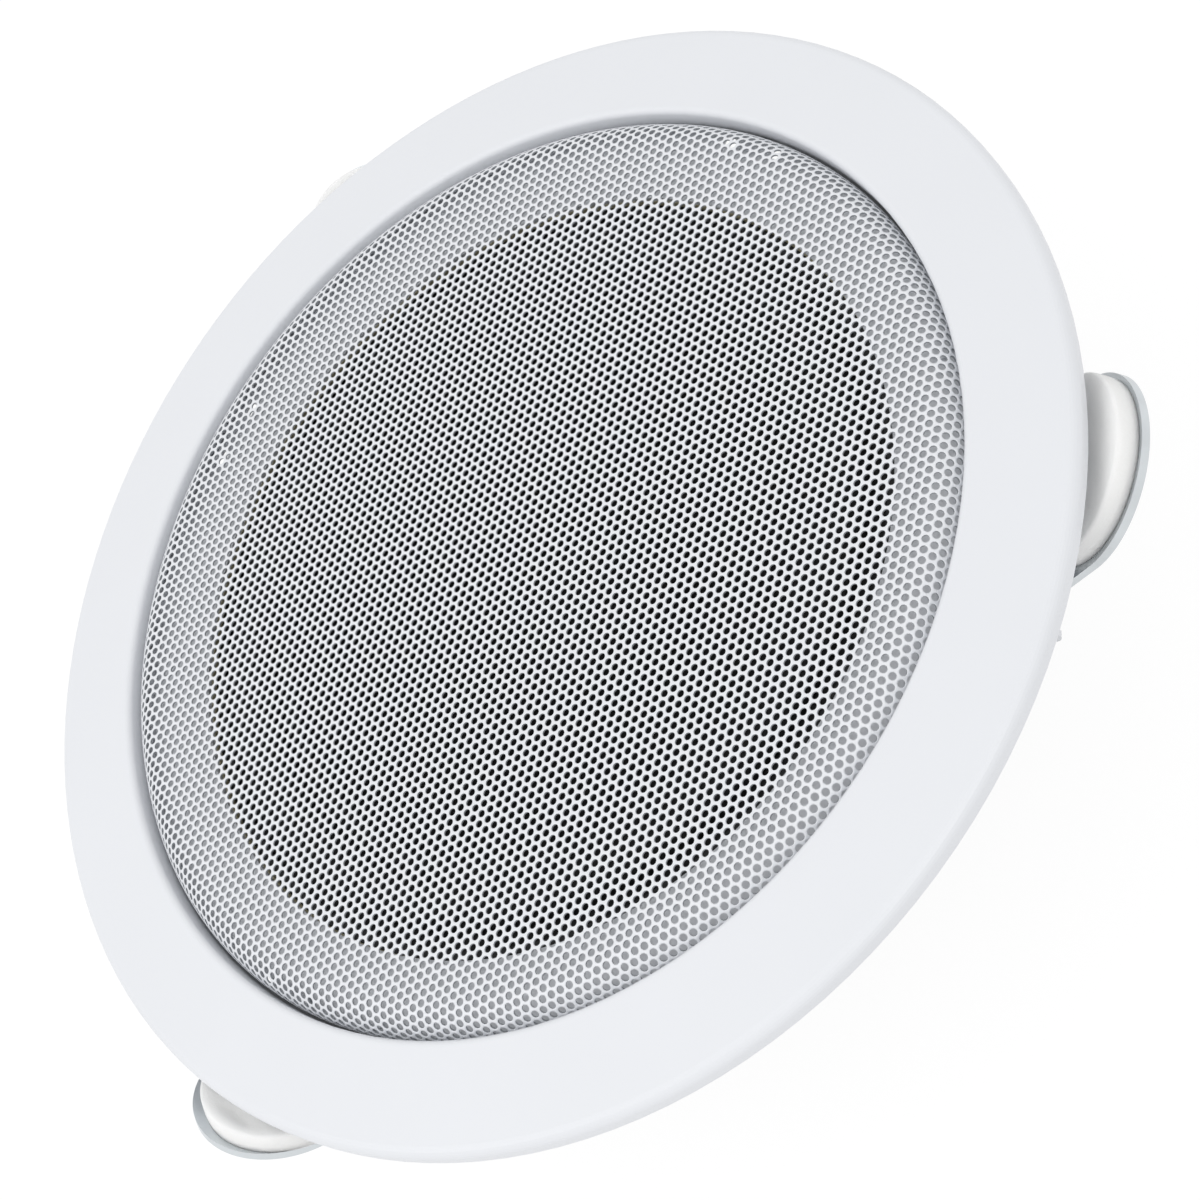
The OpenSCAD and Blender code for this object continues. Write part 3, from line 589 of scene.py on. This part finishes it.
clipSet = {
    "angles": (30, 150, 270),
    "hingeReach": 70.6 * mm,
    "hingeHeight": 37.5 * mm,
    "slope": 37.5,  # degrees that the arm drops away from the flange
    "padReach": 18.2 * mm,
    "padRadius": 13.1 * mm,
    "padShift": ((0.0, 0.2 * mm), (-0.5 * mm, 1.4 * mm), (0.0, 0.0)),  # glued by hand
    "padThick": 3.4 * mm,
    "padEdge": 0.5 * mm,
    "padWall": 0.4,  # share of its thickness where the side starts to draw in to the glue
    "padFoot": 0.15 * mm,
    "padRings": (0.0, 0.15, 0.3, 0.42, 0.54, 0.64, 0.7, 0.76, 0.81, 0.86, 0.91),
    "padSteps": 96,
    "swell": 0.12 * mm,  # unevenness of cut foam
    "swellPerMetre": 180,
    "swellApart": 7.0,  # gives each pad its own swells
    "creaseDepth": (0.0, 1.1 * mm, 0.0),
    "creasePlace": (10.2 * mm, 0.5 * mm),
    "creaseSize": (1 * mm, 4 * mm),
    "armTop": -1.3 * mm,
    "knuckle": 2.5 * mm,
    "legAlong": (12 * mm, 8 * mm, 5.2 * mm),  # the spring's leg, where it lies under the arm
    "legGap": 0.65 * mm,
    "legKnee": (1.6 * mm, 0.3 * mm),
    "springFoot": ((0.1 * mm, 3 * mm), (0.2 * mm, 6 * mm), (0.25 * mm, 8.5 * mm)),  # up the web
    "coilSteps": 20,
    "springWire": 1.2 * mm,
    "springRadius": 2.1 * mm,
    "springWidth": 8.6 * mm,
    "springTurns": 5.34,
}


def hingePlace(n):  # axes at a clip's hinge: x out from the middle, z towards the flange
    return (Matrix.Rotation(math.radians(clipSet["angles"][n - 1]), 4, "Z")
            @ Matrix.Translation((clipSet["hingeReach"], 0, clipSet["hingeHeight"])))


def clipPlace(n):  # the same, turned so that x runs along the arm
    return hingePlace(n) @ Matrix.Rotation(math.radians(-clipSet["slope"]), 4, "Y")


def buildPad(n):
    c = clipSet
    edge, steps = c["padEdge"], c["padSteps"]
    rings = [(c["padRadius"] * share, c["padThick"]) for share in c["padRings"]]
    rings += [(r, z) for r, z in reversed(arcPoints(
        (c["padRadius"] - edge, c["padThick"] - edge), edge, 0, 90, 6))]
    rings += [(c["padRadius"], c["padThick"] * c["padWall"]),
              (c["padRadius"] - c["padFoot"], 0.0), (0.0, 0.0)]
    points, faces = [], []
    along, across = c["padShift"][n - 1]
    (foldX, foldY), (foldLong, foldWide) = c["creasePlace"], c["creaseSize"]
    place = clipPlace(n) @ Matrix.Translation((c["padReach"] + along, across, c["armTop"]))
    for i in range(steps):
        angle = 2 * math.pi * i / steps
        for r, z in rings:
            p = Vector((r * math.cos(angle), r * math.sin(angle), z))
            spot = p * c["swellPerMetre"] + Vector((n * c["swellApart"], 0, 0))
            swell = abs(noise.noise(spot)) * c["swell"]
            fold = ((p.x - foldX) / foldLong) ** 2 + ((p.y - foldY) / foldWide) ** 2
            swell += c["creaseDepth"][n - 1] * math.exp(-fold)
            points.append(place @ (p + Vector((0, 0, -swell if z > 0 else 0))))
    count = len(rings)
    for i in range(steps):
        here, there = i * count, (i + 1) % steps * count
        for k in range(count - 1):
            faces.append((here + k, here + k + 1, there + k + 1, there + k))
    pad = newObject(f"clip_foam_{n}", meshOf(f"clip_foam_{n}", points, faces), whiteFoam,
                    f"clip_{n}")
    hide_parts(f"clip_pad_{n}")


def buildSpring(n):
    c = clipSet
    place, slope = hingePlace(n), math.radians(c["slope"])
    half = c["springWidth"] / 2
    kneeAlong, kneeDrop = c["legKnee"]

    def leg(x, z):
        return Vector((x * math.cos(slope) - z * math.sin(slope), -half,
                       x * math.sin(slope) + z * math.cos(slope)))

    legPath = [leg(x, -c["knuckle"] - c["legGap"]) for x in c["legAlong"]]
    legPath += [leg(kneeAlong, -c["springRadius"] - kneeDrop), leg(0, -c["springRadius"])]
    steps = c["coilSteps"]
    total = int(c["springTurns"] * steps)
    coil = []
    for i in range(total + 1):
        angle = slope - math.pi / 2 - 2 * math.pi * i / steps
        coil.append(Vector((c["springRadius"] * math.cos(angle),
                            -half + c["springWidth"] * i / total,
                            c["springRadius"] * math.sin(angle))))
    foot = [Vector((-c["springRadius"] - lean, half, rise)) for lean, rise in c["springFoot"]]
    radius = c["springWire"] / 2
    legMesh = tubeMesh(f"clip_spring_leg_{n}", [place @ p for p in smoothPath(legPath, 4)], radius)
    coilMesh = tubeMesh(f"clip_spring_coil_{n}", [place @ p for p in coil + foot], radius)
    legPiece = newObject(f"clip_spring_leg_{n}", legMesh, springSteel, f"clip_{n}")
    coilPiece = newObject(f"clip_spring_coil_{n}", coilMesh, springSteel, "housing")
    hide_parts(f"clip_spring_{n}")
    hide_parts(f"clip_spring_{n}")


bracketSet = {
    "webReach": 67.5 * mm,
    "plate": 1.1 * mm,
    "earOut": 15.4 * mm,
    "earReach": 74.5 * mm,
    "earBack": 29.5 * mm,
    "earRise": 1.5 * mm,
    "earStep": 0.4 * mm,
    "corner": 1.1 * mm,
    "taper": (44 * mm, 54.4 * mm),  # heights between which the ear narrows to its foot
    "footLength": 6 * mm,
    "footReach": 71 * mm,
    "baffleBack": 56.1 * mm,
}


def addPrism(points, faces, outline, offset):  # an outline and its copy, with sides between
    first, count = len(points), len(outline)
    points += [Vector(p) for p in outline] + [Vector(p) + Vector(offset) for p in outline]
    faces.append(tuple(range(first, first + count)))
    faces.append(tuple(reversed(range(first + count, first + 2 * count))))
    for k in range(count):
        after = (k + 1) % count
        faces.append((first + k, first + count + k, first + count + after, first + after))


def buildBracket(n):
    b = bracketSet
    back, web = b["baffleBack"], b["webReach"] - b["plate"]
    ear = [(web, back), (web, b["earBack"] + b["earRise"]),
           (b["webReach"] + b["earStep"], b["earBack"])]
    ear += arcPoints((b["earReach"] - b["corner"], b["earBack"] + b["corner"]), b["corner"],
                     -90, 0, 6)
    ear += [(b["earReach"], b["taper"][0]), (b["footReach"], b["taper"][1]),
            (b["footReach"], back)]
    points, faces = [], []
    for side in (-1, 1):
        inner = side * b["earOut"] - (b["plate"] if side > 0 else 0)
        addPrism(points, faces, [(x, inner, z) for x, z in ear], (0, b["plate"], 0))
        start = b["earOut"] if side > 0 else -b["earOut"] - b["footLength"]
        foot = [(web, start), (b["footReach"], start), (b["footReach"], start + b["footLength"]),
                (web, start + b["footLength"])]
        addPrism(points, faces, [(x, y, back - b["plate"]) for x, y in foot], (0, 0, b["plate"]))
    low, half = b["earBack"] + b["earRise"], b["earOut"] - b["plate"]
    sheet = [(web, -half, low), (web, half, low), (web, half, back), (web, -half, back)]
    addPrism(points, faces, sheet, (b["plate"], 0, 0))
    turn = Matrix.Rotation(math.radians(clipSet["angles"][n - 1]), 4, "Z")
    bracket = newObject(f"clip_bracket_sheet_{n}", meshOf(
        f"clip_bracket_sheet_{n}", [turn @ p for p in points], faces, smooth=False),
        whiteCoat, "housing")
    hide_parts(f"clip_bracket_{n}")


for n in clipNumbers:
    buildPad(n)
    buildSpring(n)
    buildBracket(n)
print("clips dressed")


# Stage: white floor and world, soft lamps

stageSet = {
    "floorColour": "#e9e9e9",
    "floorShare": 0.86,  # of the floor's white that is plain, the rest takes the shadow
    "floorHalf": 4.0,
    "glow": 1.07,
    "worldLight": 0.8,
    "lampTarget": (0, 0, 0.05),
    "key": {"way": (-0.39, 0.46, 0.8), "distance": 1.1, "size": 0.9, "power": 2.1},
    "fill": {"way": (-0.36, -0.58, 0.73), "distance": 1.2, "size": 0.7, "power": 1.9},
}


def seenDirectly(tree):  # 1 for camera, mirror and glass rays
    path = addNode(tree, "ShaderNodeLightPath")
    first = addNode(tree, "ShaderNodeMath", {"operation": "MAXIMUM"},
                    links={0: path.outputs["Is Camera Ray"], 1: path.outputs["Is Glossy Ray"]})
    return addNode(tree, "ShaderNodeMath", {"operation": "MAXIMUM"},
                   links={0: first.outputs[0], 1: path.outputs["Is Transmission Ray"]})


floorMaterial, floorTree, floorOutput = newMaterial("studio_floor")
floorDiffuse = addNode(floorTree, "ShaderNodeBsdfDiffuse",
                       values={"Color": linearColour(stageSet["floorColour"])})
floorGlow = addNode(floorTree, "ShaderNodeEmission",
                    values={"Color": (1, 1, 1, 1), "Strength": stageSet["glow"]})
floorWhite = addNode(floorTree, "ShaderNodeMixShader", values={0: stageSet["floorShare"]},
                     links={1: floorDiffuse.outputs[0], 2: floorGlow.outputs[0]})
floorMix = addNode(floorTree, "ShaderNodeMixShader",
                   links={0: seenDirectly(floorTree).outputs[0], 1: floorDiffuse.outputs[0],
                          2: floorWhite.outputs[0]})
floorTree.links.new(floorMix.outputs[0], floorOutput.inputs["Surface"])
edge = stageSet["floorHalf"]
floor = bpy.data.objects.new("floor", meshOf(
    "floor", [(-edge, -edge, 0), (edge, -edge, 0), (edge, edge, 0), (-edge, edge, 0)],
    [(0, 1, 2, 3)], smooth=False))
floor.data.materials.append(floorMaterial)
bpy.context.scene.collection.objects.link(floor)

world = bpy.data.worlds.new("studio")
bpy.context.scene.world = world
world.use_nodes = True
world.node_tree.nodes.clear()
worldOutput = addNode(world.node_tree, "ShaderNodeOutputWorld")
strength = addNode(world.node_tree, "ShaderNodeMapRange",
                   values={"To Min": stageSet["worldLight"], "To Max": 1.0},
                   links={"Value": seenDirectly(world.node_tree).outputs[0]})
sky = addNode(world.node_tree, "ShaderNodeBackground", values={"Color": (1, 1, 1, 1)},
              links={"Strength": strength.outputs["Result"]})
world.node_tree.links.new(sky.outputs[0], worldOutput.inputs["Surface"])


def addLamp(name):
    c = stageSet[name]
    data = bpy.data.lights.new(name, "AREA")
    data.shape = "DISK"
    data.size = c["size"]
    data.energy = c["power"]
    lamp = bpy.data.objects.new(name, data)
    target = Vector(stageSet["lampTarget"])
    lamp.location = target + Vector(c["way"]).normalized() * c["distance"]
    lamp.rotation_mode = "QUATERNION"
    lamp.rotation_quaternion = (target - lamp.location).to_track_quat("-Z", "Y")
    bpy.context.scene.collection.objects.link(lamp)


addLamp("key")
addLamp("fill")
print("stage lit")
